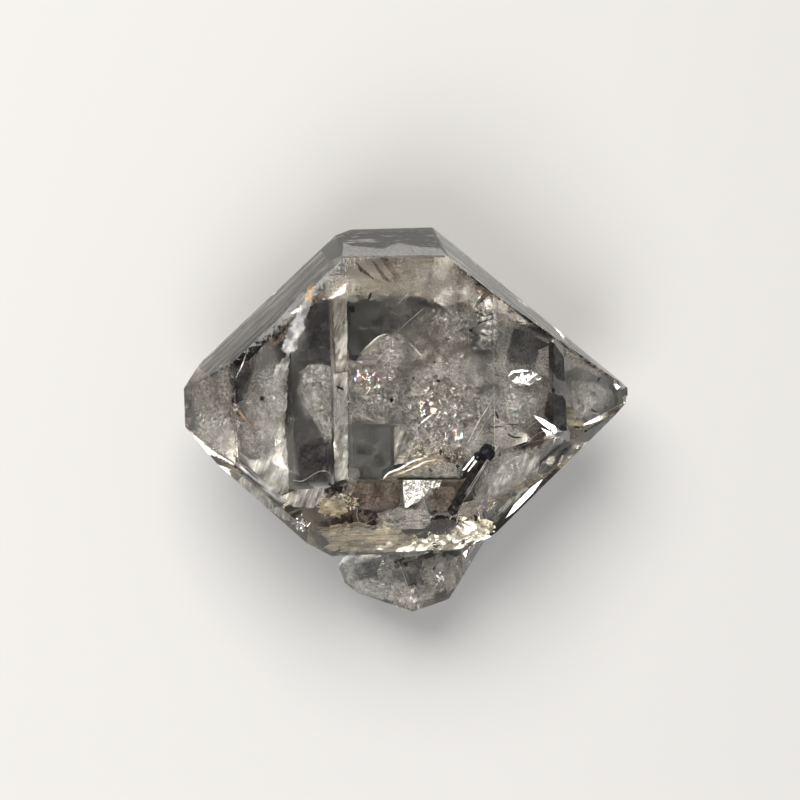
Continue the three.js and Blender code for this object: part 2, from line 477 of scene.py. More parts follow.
def flash_at(x, y, *_):
    return flash_under(ray_in(x, y)[1])


def points_round(rng, at, count, spread, spin, reach):
    """Random points in an ellipsoid round a place inside, or as far from it as reach says in the picture."""
    if reach:
        for _ in range(count):
            yield inside(*[a + rng.uniform(-r, r) for a, r in zip(at, reach)])
        return
    middle = inside(*at)
    turn = Matrix.Rotation(math.radians(spin), 3, "Z")
    for _ in range(count):
        off = Vector((1, 1, 1))
        while off.length > 1:
            off = Vector([rng.uniform(-1, 1) for _ in range(3)])
        yield middle + turn @ Vector([a * b for a, b in zip(off, spread)])


def strewn(rng, turns, at, count, size, scatter=12, spread=None, spin=0, reach=None):
    """Point, rotation, size and aim of things strewn round a place, all turned so that they nearly flash."""
    aim = flash_at(*at)
    for point in points_round(rng, at, count, spread, spin, reach):
        turn = lying(near(rng, aim, scatter), rng.uniform(0, turns))
        yield point, turn, rng.uniform(*size), aim


FLAKE_CORNERS = (4, 7)
FLAKE_STRETCH = (1, 2.6)
FLAKE_RISE = 0.12


def flakes(name, material, rows, seed, **usual):
    """Splinters: small fans of a few corners round a slightly raised middle."""
    rng = random.Random(seed)
    bm = bmesh.new()
    for row in rows:
        for at, turn, size, _ in strewn(rng, 180, **{**usual, **row}):
            long = rng.uniform(*FLAKE_STRETCH)
            n = rng.randint(*FLAKE_CORNERS)
            middle = bm.verts.new(at + turn @ Vector((0, 0, FLAKE_RISE * size)))
            rim = []
            for k in range(n):
                a, r = 2 * math.pi * (k + rng.uniform(-0.3, 0.3)) / n, size * rng.uniform(0.5, 1)
                rim.append(bm.verts.new(at + turn @ Vector((r * long * math.cos(a), r * math.sin(a), 0))))
            for k in range(n):
                bm.faces.new((middle, rim[k], rim[(k + 1) % n]))
    piece(name, bm, material, smooth=False, margin=0.2)


def add_ribbon(bm, path, width, facing):
    """A narrow strip along a path, its flat side turned to a direction."""
    last = len(path) - 1
    pairs = []
    for k, p in enumerate(path):
        along = path[min(k + 1, last)] - path[max(k - 1, 0)]
        taper = 0.35 + math.sin(math.pi * (k + 0.5) / (last + 1))
        side = along.cross(facing).normalized() * (width / 2) * taper
        pairs.append((bm.verts.new(p - side), bm.verts.new(p + side)))
    for (a, b), (c, d) in zip(pairs, pairs[1:]):
        bm.faces.new((a, b, d, c))


FAN_RINGS = 6
FAN_STEPS = 10
BRIGHT_RIMS = 0.35
RIM_STEPS = (3, 6)
RIM_WIDTH = (0.03, 0.08)
RIM_SCATTER = 14


def fan(rng, at, turn, size):
    """Rows of points on a rippled fan that curves down from where it began."""
    half = rng.uniform(0.5, 1.5)
    curve, shift = rng.uniform(0.1, 0.42), rng.uniform(0, 50)
    rows = []
    for i in range(1, FAN_RINGS + 1):
        row = []
        for j in range(FAN_STEPS + 1):
            a = half * (2 * j / FAN_STEPS - 1)
            r = size * i / FAN_RINGS * (1 + 0.35 * noise.noise(Vector((a * 1.5, shift, 0))))
            w = -curve * r * r / size + 0.03 * size * math.sin(11 * i / FAN_RINGS)
            row.append(at + turn @ Vector((r * math.cos(a), r * math.sin(a), w)))
        rows.append(row)
    return rows


def small_cracks(name, rows, seed):
    """Shell-shaped cracks, some with a stretch of bright outer rim."""
    rng = random.Random(seed)
    fans, rims = bmesh.new(), bmesh.new()
    for row in rows:
        for at, turn, size, aim in strewn(rng, 360, **row):
            shell = fan(rng, at, turn, size)
            made = [[fans.verts.new(p) for p in ring] for ring in shell]
            for low, high in zip(made, made[1:]):
                for a, b, c, d in zip(low, high, high[1:], low[1:]):
                    fans.faces.new((a, b, c, d))
            if rng.random() < BRIGHT_RIMS:
                first = rng.randint(0, FAN_STEPS // 2)
                path = shell[-1][first:first + rng.randint(*RIM_STEPS)]
                add_ribbon(rims, path, rng.uniform(*RIM_WIDTH), near(rng, aim, RIM_SCATTER))
    piece(name, fans, CRACK, margin=0.15)
    piece(name + "_rims", rims, EDGE, margin=0.15)


def add_tube(bm, path, radii, sides, flat=1):
    """A closed tube along points, with a radius for each."""
    rings = []
    for k, p in enumerate(path):
        along = (path[min(len(path) - 1, k + 1)] - path[max(0, k - 1)]).normalized()
        across = along.cross(Vector((0, 0, 1))).normalized()
        up = across.cross(along)
        rings.append([
            bm.verts.new(p + radii[k] * (math.cos(t) * across + flat * math.sin(t) * up))
            for t in [2 * math.pi * s / sides for s in range(sides)]
        ])
    for a, b in zip(rings, rings[1:]):
        for s in range(sides):
            bm.faces.new((a[s], b[s], b[(s + 1) % sides], a[(s + 1) % sides]))
    bm.faces.new(rings[0])
    bm.faces.new(list(reversed(rings[-1])))


def smooth_path(points, steps=6):
    """Points on a Catmull-Rom curve through the given ones."""
    p = [points[0] * 2 - points[1], *points, points[-1] * 2 - points[-2]]
    out = []
    for a, b, c, d in zip(p, p[1:], p[2:], p[3:]):
        for t in [s / steps for s in range(steps)]:
            out.append(0.5 * ((2 * b) + (c - a) * t + (2 * a - 5 * b + 4 * c - d) * t * t
                              + (3 * b - a - 3 * c + d) * t ** 3))
    return [*out, points[-1]]


def path_inside(line, depth):
    return smooth_path([inside(x, y, depth) for x, y in line])


def glints(name, material, rows):
    """Edges of cracks that catch a light: a line in the picture, its depth and width."""
    bm = bmesh.new()
    for line, depth, width in rows:
        add_ribbon(bm, path_inside(line, depth), width, flash_at(*line[0]))
    piece(name, bm, material, margin=0.08)


def hairlines(name, material, rows):
    """Thin edges where a crack ends: a line in the picture, its depth and thickness."""
    bm = bmesh.new()
    for line, depth, thick in rows:
        path = path_inside(line, depth)
        add_tube(bm, path, [thick * (0.6 + 0.8 * abs(noise.noise(p * 1.3))) for p in path], sides=5)
    piece(name, bm, material, margin=0.08)


def add_lump(bm, at, size, turn, seed, detail=3, bumpy=0.35):
    made = bmesh.ops.create_icosphere(bm, subdivisions=detail, radius=1)["verts"]
    for v in made:
        v.co *= 1 + bumpy * noise.noise(v.co * 1.6 + Vector((seed * 3.7, seed, 0)))
        v.co = at + turn @ Vector([a * b for a, b in zip(v.co, size)])


# ---------------------------------------------------------------- the crystal itself
# Edges at least so long, in mm, and so sharp, in degrees, are softened; flatter ones are shaded smooth
SHORTEST_EDGE = 0.7
SHARP_FROM = 12
SMOOTH_UNDER = 16
BEVEL = 0.06


def crystal():
    """The solid's own mesh, with its outward edges softened."""
    bm = bmesh.new()
    bm.from_mesh(node.data)
    bmesh.ops.remove_doubles(bm, verts=bm.verts, dist=1e-6)
    bmesh.ops.dissolve_limit(bm, angle_limit=math.radians(0.4), verts=bm.verts, edges=bm.edges)
    sharp = [
        e for e in bm.edges
        if len(e.link_faces) == 2 and e.is_convex and e.calc_length() > SHORTEST_EDGE * MM
        and e.calc_face_angle(0) > math.radians(SHARP_FROM)
    ]
    bmesh.ops.bevel(bm, geom=sharp, offset=BEVEL * MM, segments=2, profile=0.5, affect="EDGES",
                    clamp_overlap=True)
    bmesh.ops.triangulate(bm, faces=bm.faces)
    for e in bm.edges:
        e.smooth = len(e.link_faces) == 2 and e.calc_face_angle(0) < math.radians(SMOOTH_UNDER)
    ob = piece("quartz_crystal", bm, QUARTZ, margin=None)
    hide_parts("herkimer_crystal")


crystal()

# ---------------------------------------------------------------- veils
# Places are picture places on the 800-wide frame, with the depth in mm behind the outer face
sheets("veil_middle", WARM_HAZE, [
    dict(at=(440, 345, 12.5), size=(5, 7.6), tilt=3, towards=40, dome=0.5, rough=0.8),
    dict(at=(440, 376, 10.6), size=(6.4, 6), tilt=4, towards=200, dome=-0.5, rough=0.8, ragged=0.25),
    dict(at=(450, 430, 9.6), size=(5.2, 6), tilt=4, towards=250, dome=0.4),
    dict(at=(398, 280, 9), size=(7.4, 2.4), tilt=6, towards=90, soft=0.9),
])
sheets("thin_veil_middle", HAZE, [
    dict(at=(428, 404, 9), size=(7, 4.4), tilt=4, towards=300, dome=0.4, rough=0.8),
    dict(at=(480, 370, 7), size=(2.6, 10), tilt=5, towards=90),
    dict(at=(478, 440, 5.6), size=(3, 5), tilt=5, towards=90, rough=0.5),
], dome=0.3)
sheets("veil_right", HAZE, [
    dict(at=(522, 385, 6.5), size=(5.4, 7), tilt=10, towards=10, dome=0.5, rough=0.8),
    dict(at=(512, 410, 4.6), size=(4.6, 5.4), tilt=12, towards=10, ragged=0.25),
    dict(at=(582, 398, 3.8), size=(5.6, 4), tilt=12, towards=20, dome=0.3, rough=0.4),
    dict(at=(590, 402, 2.4), size=(4.6, 3.2), tilt=16, towards=20, dome=0.3, rough=0.3),
    dict(at=(515, 470, 4.2), size=(5.6, 3.6), tilt=22, towards=300, spin=40, rough=0.5),
    dict(at=(522, 468, 2.6), size=(6, 2.8), tilt=26, towards=300, spin=40, dome=0.2, rough=0.3),
], dome=0.4)
sheets("veil_left", HAZE, [
    dict(at=(316, 400, 8.5), size=(2.6, 5.4), tilt=5, towards=190, spin=4, rough=0.5),
    dict(at=(262, 396, 7), size=(3.4, 7), tilt=8, towards=170, spin=-14),
    dict(at=(260, 436, 5.6), size=(3.4, 4.6), tilt=10, towards=200, rough=0.5),
], dome=0.4, ragged=0.3)
sheets("veil_end", BEIGE_HAZE, [
    dict(at=(210, 410, 3.4), size=(3.6, 7), tilt=26, towards=180, ragged=0.1, soft=0.6),
    dict(at=(228, 420, 4.6), size=(3, 6), tilt=24, towards=180, soft=0.8),
], dome=0.3, rough=0.4)
patches("cracked_field", HAZE, [
    dict(rim=[(298, 372), (308, 364), (322, 362), (332, 368), (332, 456), (320, 436), (310, 414), (300, 394)],
         depth=7, rough=0.4, fuzz=1.5),
    dict(rim=[(347, 356), (358, 364), (384, 362), (410, 362), (424, 372), (424, 424), (392, 426), (347, 423)],
         depth=8.4),
    dict(rim=[(350, 360), (376, 366), (402, 364), (410, 400), (400, 422), (366, 424), (349, 420)], depth=7.6,
         fuzz=2, soft=4),
], rough=0.8, soft=2)
patches("warm_bands", WARM_HAZE, [
    dict(rim=[(398, 478), (410, 469), (436, 460), (463, 463), (463, 478)], depth=4.6, rough=0.3, fuzz=1.5),
    dict(rim=[(325, 276), (349, 276), (349, 300), (325, 300)], depth=2),
    dict(rim=[(353, 363), (362, 350), (372, 340), (383, 333), (394, 331), (404, 336), (413, 346), (423, 360),
         (412, 363), (398, 369), (380, 367), (366, 366)], depth=5.6, rough=0.5, fuzz=0),
    dict(rim=[(378, 514), (400, 506), (428, 510), (432, 522), (424, 532), (398, 531), (376, 527)], depth=1.8,
         fuzz=1.5),
    dict(rim=[(333, 292), (400, 290), (412, 296), (404, 300), (392, 298), (378, 303), (366, 299), (352, 304),
         (340, 298)], depth=11, rough=0.3, fuzz=3, soft=0),
    dict(rim=[(480, 462), (497, 452), (524, 452), (540, 462), (520, 486), (492, 500), (472, 506)], depth=2.4,
         rough=0.4, fuzz=2, soft=3),
    dict(rim=[(495, 298), (515, 308), (536, 318), (532, 326), (514, 320), (497, 322)], depth=2.6, rough=0.3),
    dict(rim=[(252, 326), (268, 302), (290, 278), (304, 270), (308, 280), (290, 298), (274, 318), (258, 334)],
         depth=1.2, rough=0.1),
    dict(rim=[(462, 512), (484, 496), (520, 482), (534, 480), (512, 506), (496, 524), (474, 530), (462, 524)],
         depth=1.8, rough=0.3, fuzz=2, soft=4),
    dict(rim=[(200, 366), (216, 350), (230, 338), (236, 344), (222, 356), (206, 372)], depth=1.4),
], soft=2)
patches("light_bands", STREAKY_HAZE, [
    dict(rim=[(290, 352), (287, 384), (286, 412), (284, 440), (264, 436), (260, 420), (268, 392), (276, 366)],
         depth=8, rough=0.5, fuzz=2.5),
    dict(rim=[(250, 466), (286, 438), (288, 468), (289, 492), (275, 496)], depth=6, fuzz=0.8),
    dict(rim=[(278, 498), (293, 491), (325, 487), (331, 492), (313, 508), (294, 507)], depth=5, fuzz=0),
    dict(rim=[(333, 296), (347, 296), (347, 372), (336, 372)], depth=11),
    dict(rim=[(333, 374), (347, 372), (347, 479), (334, 481)], depth=8.5, fuzz=0.6),
    dict(rim=[(392, 424), (421, 427), (419, 462), (393, 464)], depth=11),
])

# ---------------------------------------------------------------- cracks, and films of painted shade and light
sheets("dome_crack", CRACK, [
    dict(at=(392, 362, 6), size=(4.6, 3.4), tilt=10, towards=255, spin=8, dome=2, ripple=0.05, waves=7,
         rough=0.4, ragged=0.12, step=0.16),
    dict(at=(372, 392, 6.8), size=(3.6, 2.4), tilt=9, towards=80, spin=30, ripple=0.08, rough=0.5, step=0.16),
    dict(at=(418, 412, 7.2), size=(3.2, 2.8), tilt=12, towards=20, dome=-1, ripple=0.1, waves=5.5),
    dict(at=(450, 400, 6.4), size=(3, 3.6), tilt=13, towards=140, spin=60, dome=1.1, ripple=0.1, rough=0.7),
    dict(at=(442, 440, 6), size=(3.2, 2), tilt=14, towards=330, spin=15, ripple=0.12, rough=0.7, step=0.14),
    dict(at=(524, 402, 4.5), size=(2.8, 3), tilt=14, towards=200, ripple=0.1),
    dict(at=(520, 470, 3.5), size=(3.8, 2.4), tilt=22, towards=310, spin=40, dome=0.6, ripple=0.07, waves=9,
         rough=0.4, step=0.13),
], dome=0.8, ragged=0.25, step=0.15)
small_cracks("small_cracks", [
    dict(at=(440, 402, 6.5), spread=(4.2, 3.6, 2), count=64, size=(0.35, 1.25), spin=30, scatter=10),
    dict(at=(452, 372, 7.5), spread=(2.8, 2.8, 2), count=30, size=(0.3, 1), scatter=9),
    dict(at=(430, 452, 5.2), spread=(4, 1.6, 1.4), count=40, size=(0.25, 0.8)),
    dict(at=(372, 390, 6.8), spread=(2.8, 2.2, 1.4), count=26, size=(0.3, 1.1), scatter=9),
    dict(at=(394, 356, 6), spread=(2.6, 1.6, 0.8), count=14, size=(0.4, 1.2), scatter=8),
    dict(at=(514, 412, 4.2), spread=(2.2, 4.2, 1.6), count=40, size=(0.25, 0.9), scatter=13),
    dict(at=(514, 468, 3.4), spread=(4, 2, 1), count=40, size=(0.2, 0.8), spin=38, scatter=14),
    dict(at=(478, 318, 5), spread=(1.2, 4, 1.5), count=24, size=(0.2, 0.7)),
    dict(at=(262, 410, 6.5), spread=(2.4, 5.2, 1.6), count=34, size=(0.25, 0.9)),
    dict(at=(214, 430, 2.6), spread=(2.4, 4.4, 1), count=46, size=(0.2, 0.7), scatter=20),
], seed=31)
patches("crackle_middle", CRACKLE, [
    dict(rim=[(396, 385), (420, 366), (455, 356), (484, 362), (493, 400), (491, 446), (456, 468), (420, 464),
         (400, 436)], depth=7, fuzz=4),
    dict(rim=[(366, 354), (374, 342), (386, 334), (398, 334), (410, 342), (421, 358), (404, 364), (382, 364)],
         depth=5.2, rough=0.5, soft=3),
    dict(rim=[(352, 370), (372, 362), (396, 368), (404, 390), (392, 410), (364, 408), (350, 392)], depth=6.4,
         rough=0.6, fuzz=3, soft=6),
    dict(rim=[(422, 304), (450, 296), (470, 304), (472, 340), (452, 356), (430, 344)], depth=8, fuzz=4),
    dict(rim=[(440, 452), (462, 430), (478, 440), (470, 462), (448, 474), (400, 478), (404, 462)], depth=6,
         rough=0.5, fuzz=3, soft=5),
], rough=0.7, soft=12)
patches("beige_patches", BEIGE_HAZE, [
    dict(rim=[(190, 392), (206, 370), (231, 352), (234, 398), (216, 408), (192, 408)], depth=0.9, soft=3),
    dict(rim=[(404, 264), (462, 264), (470, 302), (440, 304), (406, 298)], depth=2.6, rough=0.3, fuzz=2,
         soft=5),
])
patches("crackle_right", CRACKLE, [
    dict(rim=[(499, 376), (520, 388), (544, 390), (546, 408), (530, 416), (524, 436), (499, 444)], depth=1.4,
         flash=True, rough=0.6, soft=9),
    dict(rim=[(478, 476), (500, 452), (540, 446), (560, 442), (548, 462), (520, 488), (488, 506), (468, 508)],
         depth=2.6, flash=True, rough=0.4, soft=5),
    dict(rim=[(568, 376), (604, 384), (616, 394), (596, 410), (572, 428)], depth=1.8, fuzz=2, soft=6),
    dict(rim=[(474, 298), (494, 300), (495, 352), (476, 350)], depth=5, rough=0.5, fuzz=2, soft=4),
], fuzz=3)
patches("right_bands", WARM_HAZE, [
    dict(rim=[(496, 306), (510, 312), (517, 320), (508, 346), (504, 372), (497, 372)], depth=1.4, fuzz=0.6),
    dict(rim=[(424, 262), (472, 262), (477, 298), (452, 306), (424, 300)], depth=4, rough=0.3, soft=2),
    dict(rim=[(428, 276), (474, 272), (476, 300), (450, 308), (426, 304)], depth=5, rough=0.3, fuzz=2,
         soft=4),
    dict(rim=[(538, 350), (548, 346), (548, 376), (534, 374)], depth=1.2, rough=0.1, fuzz=0),
    dict(rim=[(565, 342), (582, 352), (606, 372), (600, 378), (576, 366), (566, 372)], depth=0.8, rough=0.1),
])
patches("light_right", STREAKY_HAZE, [
    dict(rim=[(486, 476), (504, 456), (530, 452), (548, 452), (532, 474), (508, 494), (484, 506), (474, 500)],
         depth=1.6, rough=0.4, fuzz=2, soft=5),
    dict(rim=[(496, 512), (508, 500), (526, 486), (530, 484), (520, 498), (504, 512)], depth=0.7, rough=0.1,
         soft=2),
], flash=True)
patches("crackle_left", CRACKLE, [
    dict(rim=[(192, 400), (206, 392), (226, 404), (236, 430), (240, 462), (224, 462), (200, 440)], depth=2.2,
         rough=0.3),
    dict(rim=[(252, 400), (270, 372), (286, 380), (284, 436), (262, 446), (250, 430)], depth=6),
    dict(rim=[(300, 376), (308, 364), (322, 362), (332, 368), (332, 450), (322, 432), (312, 412), (303, 394)],
         depth=6.5, fuzz=1.5, soft=3),
], rough=0.4, fuzz=2, soft=6)
patches("window_dust", DUST, [
    dict(rim=[(292, 356), (308, 300), (332, 297), (332, 440), (294, 440)], depth=10, soft=8),
    dict(rim=[(347, 297), (430, 297), (426, 352), (347, 360)], depth=10, soft=4),
    dict(rim=[(346, 422), (393, 424), (393, 479), (346, 480)], depth=10),
    dict(rim=[(348, 424), (392, 425), (392, 478), (348, 479)], depth=6, rough=0.3, soft=3),
], fuzz=0)
# Streaks along the upper left outline, darkened as painted shade
patches("edge_streaks_and_painted_shade", EDGE_STREAKS_AND_PAINTED_SHADE, [
    dict(rim=[(194, 367), (224, 338), (256, 306), (294, 270), (318, 248), (330, 262), (308, 286), (278, 315),
         (246, 346), (214, 376)], depth=0.7, fuzz=1.5),
    dict(rim=[(538, 453), (552, 445), (571, 440), (580, 446), (566, 460), (549, 472), (539, 474)], depth=0.5,
         soft=2),
], rough=0.1)
# Painted shade along the upper right and lower left outline, with thin pale streaks
patches("painted_edge_shades", PAINTED_EDGE_SHADES, [
    dict(rim=[(438, 233), (480, 264), (530, 304), (570, 340), (612, 378), (606, 384), (560, 350), (520, 316),
         (488, 288), (446, 252)], depth=0.6),
    dict(rim=[(190, 426), (220, 454), (250, 480), (282, 507), (288, 500), (256, 474), (226, 447), (200, 420)],
         depth=0.6),
], rough=0.1)
# The top face's upper band: light wisps over painted shade
patches("top_wisps_and_painted_shade", WISPS_AND_PAINTED_SHADE, [
    dict(rim=[(343, 234), (352, 232), (400, 231), (432, 231), (440, 247), (420, 248), (400, 244), (384, 249),
         (346, 247)], depth=1, rough=0.05, fuzz=1.5, step=1.5, soft=1.5),
])
# A whitish veil band at the upper left, then a painted reflection: the light lower band of the top face
patches("pale_band_and_painted_reflection", PALE_VEIL_AND_PAINTED_LIGHT, [
    dict(rim=[(306, 299), (313, 298), (309, 312), (305, 320), (306, 330), (300, 338), (298, 350), (288, 356),
         (281, 350), (285, 336), (292, 322), (299, 309)], depth=3, rough=0.3, fuzz=1.8, soft=1.5),
    dict(rim=[(343, 242), (352, 246), (368, 247), (382, 249), (398, 243), (420, 247), (440, 248), (445, 255),
         (343, 256)], depth=0.6, rough=0.02, fuzz=0.6, step=1.5),
])
patches("rainbow_cracks", RAINBOW, [
    dict(rim=[(357, 362), (366, 360), (376, 368), (387, 378), (380, 388), (366, 390), (354, 380)], depth=5.6),
    dict(rim=[(506, 396), (515, 392), (521, 410), (517, 428), (508, 424)], depth=3.8, rough=0.4, fuzz=2.5),
    dict(rim=[(474, 512), (484, 498), (502, 492), (504, 500), (490, 512)], depth=1.2, fuzz=2, soft=3),
    dict(rim=[(418, 400), (432, 392), (440, 404), (432, 416), (420, 418)], depth=6.4),
    dict(rim=[(452, 430), (461, 428), (462, 438), (454, 440)], depth=5, rough=0.2, fuzz=1.5),
    dict(rim=[(474, 292), (490, 286), (492, 298), (482, 306)], depth=5, rough=0.3, fuzz=2),
], flash=True, rough=0.5, fuzz=3)
patches("bright_cracks", BRIGHT, [
    dict(rim=[(402, 480), (442, 480), (438, 489), (424, 500), (404, 508)], depth=3.4, rough=0.22, fuzz=0.4),
    dict(rim=[(497, 472), (508, 458), (526, 456), (528, 470), (512, 486), (498, 490)], depth=1.8, rough=0.5,
         soft=7),
    dict(rim=[(505, 390), (516, 392), (520, 408), (510, 420), (503, 410)], depth=3, rough=0.3, soft=5),
], flash=True, fuzz=3)
patches("mirror_cracks", MIRROR, [
    dict(rim=[(512, 381), (521, 374), (535, 372), (541, 378), (531, 384), (520, 386)], depth=1.8, rough=0.25,
         fuzz=1.5),
    dict(rim=[(508, 377), (512, 371), (522, 370), (532, 371), (522, 372), (513, 373)], depth=1.7),
    dict(rim=[(533, 415), (543, 419), (553, 425), (563, 432), (553, 432), (543, 425)], depth=1.4, fuzz=0.6),
    dict(rim=[(541, 428), (549, 431), (555, 435), (547, 435)], depth=1.4, fuzz=0.6),
    dict(rim=[(462, 470), (464, 470), (478, 452), (477, 451)], depth=2.6, step=1),
    dict(rim=[(467, 471), (468, 471), (479, 457), (478, 456)], depth=2.6, step=1),
    dict(rim=[(506, 518), (514, 505), (532, 487), (543, 479), (532, 494), (516, 510)], depth=0.5, rough=0.05),
    dict(rim=[(296, 519), (304, 519), (305, 529), (297, 530)], depth=2, rough=0.3),
    dict(rim=[(612, 384), (616, 384), (621, 387), (616, 388)], depth=0.5, fuzz=0.5),
], flash=True, rough=0.1, fuzz=0)
flakes("sparks", SPARK, [
    dict(at=(448, 405, 6), spread=(4.4, 4.2, 2), count=190, spin=30),
    dict(at=(436, 447, 5), spread=(3.8, 2.2, 1.4), count=190, size=(0.04, 0.17), scatter=9),
    dict(at=(510, 410, 4), spread=(2.4, 4.2, 1.5), count=120, size=(0.04, 0.15)),
    dict(at=(398, 352, 6), spread=(3.2, 2, 1.2), count=50, size=(0.04, 0.12)),
    dict(at=(368, 382, 6), spread=(2.6, 2.2, 1.2), count=70, size=(0.04, 0.12)),
    dict(at=(212, 432, 2.4), spread=(2.6, 4.6, 1), count=240, size=(0.04, 0.14), scatter=22),
    dict(at=(515, 470, 3.2), spread=(4, 2.2, 1), count=150, size=(0.03, 0.12), spin=38, scatter=16),
    dict(at=(332, 498, 5), spread=(2.4, 1.4, 1.2), count=70),
], seed=11, size=(0.04, 0.16))
flakes("golden_sparks", GOLD, [
    dict(at=(430, 456, 5.2), spread=(4, 1.6, 1.4), count=170, size=(0.05, 0.22)),
    dict(at=(405, 538, 1.4), spread=(3.4, 1, 0.6), count=150, scatter=20),
    dict(at=(460, 530, 1.6), spread=(3.2, 1.1, 0.6), count=110, scatter=18),
    dict(at=(340, 502, 4), spread=(2.4, 1.2, 1), count=70, size=(0.06, 0.24)),
], seed=12, size=(0.06, 0.26))
flakes("cream_chips", CREAM, [
    dict(at=(474, 534, 0.9), reach=(8, 4, 0.4), count=26, size=(0.5, 1.3)),
    dict(at=(487, 529, 0.8), reach=(5, 3, 0.3), count=14, size=(0.4, 0.9)),
    dict(at=(462, 540, 0.8), reach=(6, 4, 0.3), count=16, size=(0.4, 1)),
    dict(at=(434, 544, 0.9), reach=(18, 6, 0.4), count=40, size=(0.3, 0.8), scatter=7),
    dict(at=(470, 522, 1.4), reach=(12, 4, 0.4), count=14, size=(0.2, 0.6), scatter=14),
], seed=51, scatter=6)
flakes("golden_chips", GOLD_LINES, [
    dict(at=(387, 538, 0.8), reach=(10, 8, 0.4), count=34, scatter=13),
    dict(at=(352, 540, 0.9), reach=(20, 8, 0.4), count=30, scatter=18),
    dict(at=(334, 506, 3.4), reach=(10, 5, 0.6), count=20, size=(0.3, 0.9)),
], seed=52, size=(0.4, 1.2))
patches("cream_films", CREAM, [
    dict(rim=[(455, 527), (462, 522), (476, 526), (488, 526), (497, 529), (488, 538), (472, 545), (458, 549),
         (452, 541)], depth=0.7, fuzz=1.2),
    dict(rim=[(395, 552), (402, 541), (412, 536), (424, 531), (436, 535), (450, 534), (457, 530), (456, 548),
         (440, 552)], depth=0.9),
    dict(rim=[(376, 530), (390, 528), (398, 533), (394, 544), (388, 551), (376, 549)], depth=1),
], flash=True, rough=0.3)
patches("golden_films", GOLD_LINES, [
    dict(rim=[(318, 530), (344, 526), (372, 529), (398, 528), (396, 552), (352, 552), (330, 544)], depth=1.2,
         rough=0.3, fuzz=1.2),
    dict(rim=[(398, 530), (430, 546), (456, 527), (470, 548), (440, 553), (396, 553)], depth=1, rough=0.3,
         fuzz=1.5),
    dict(rim=[(562, 404), (570, 403), (584, 422), (580, 430), (568, 430)], depth=2.2),
    dict(rim=[(326, 500), (345, 500), (345, 512), (334, 518), (318, 512)], depth=4.2),
    dict(rim=[(382, 479), (400, 468), (425, 458), (446, 452), (440, 462), (414, 472), (396, 480)], depth=4.8,
         rough=0.3, fuzz=2),
    dict(rim=[(505, 488), (524, 480), (548, 474), (536, 482), (516, 492)], depth=1.8, fuzz=1.2),
    dict(rim=[(468, 280), (482, 282), (484, 300), (470, 302)], depth=6, fuzz=1.5),
])

# ---------------------------------------------------------------- painted shade, brown films and dark things
# Mostly painted shade: near-black films that darken the left window, two dark rectangles by the tip and bands
# inside the left outline; the last two rows are dark streaks under the top face
patches("painted_shade_films", PAINTED_SHADE, [
    dict(rim=[(293, 440), (331, 440), (332, 486), (294, 487)], depth=7, rough=0.2, soft=6),
    dict(rim=[(312, 301), (330, 299), (331, 350), (304, 350), (307, 336), (305, 324)], depth=4, rough=0.2,
         fuzz=1, soft=4),
    dict(rim=[(233, 352), (243, 338), (254, 327), (263, 325), (262, 342), (256, 362), (250, 384), (243, 400),
         (233, 407)], depth=2.2, rough=0.2, fuzz=0.8),
    dict(rim=[(548, 340), (553, 343), (564, 358), (565, 382), (556, 379), (549, 366)], depth=1.2),
    dict(rim=[(548, 392), (562, 396), (566, 402), (567, 430), (560, 432), (544, 414)], depth=1.2, fuzz=1),
    dict(rim=[(325, 249), (318, 262), (306, 275), (294, 282), (300, 272), (312, 260)], depth=0.9, fuzz=1.5),
    dict(rim=[(353, 259), (360, 266), (374, 279), (388, 285), (372, 279), (360, 272)], depth=2),
    dict(rim=[(371, 260), (376, 264), (392, 284), (382, 279)], depth=2.2),
], rough=0.1, fuzz=0)
# Painted shade: grey films that darken the windows and make them look wider
patches("painted_window_shades", GREY_PAINTED_SHADE, [
    dict(rim=[(292, 430), (332, 430), (332, 487), (294, 488)], depth=10, fuzz=0, soft=9),
    dict(rim=[(309, 299), (331, 297), (332, 362), (294, 362), (304, 338), (301, 325)], depth=8),
    dict(rim=[(311, 301), (330, 299), (331, 352), (300, 352), (306, 338), (303, 325)], depth=5),
    dict(rim=[(380, 299), (404, 294), (424, 298), (426, 314), (414, 332), (398, 330), (380, 342)], depth=9,
         fuzz=2, soft=10),
    dict(rim=[(514, 330), (522, 325), (534, 331), (543, 346), (540, 358), (530, 366), (508, 364), (507, 356)],
         depth=1.3, rough=0.1, soft=1.5),
], soft=3)
patches("brown_films", BROWN_SMOKE, [
    dict(rim=[(345, 484), (398, 482), (400, 502), (392, 514), (372, 528), (350, 529), (322, 530), (319, 522),
         (343, 514)], depth=4.6, rough=0.3),
    dict(rim=[(380, 259), (388, 259), (402, 279), (396, 280)], depth=2.4, rough=0.1, fuzz=0.8),
    dict(rim=[(266, 323), (280, 317), (290, 321), (284, 340), (271, 350), (263, 343)], depth=3.4, rough=0.1,
         fuzz=0.8),
    dict(rim=[(430, 488), (452, 486), (462, 500), (450, 512), (420, 516), (412, 508)], depth=3),
    dict(rim=[(440, 452), (462, 446), (466, 458), (448, 466)], depth=5.6, fuzz=2),
], fuzz=1.5)


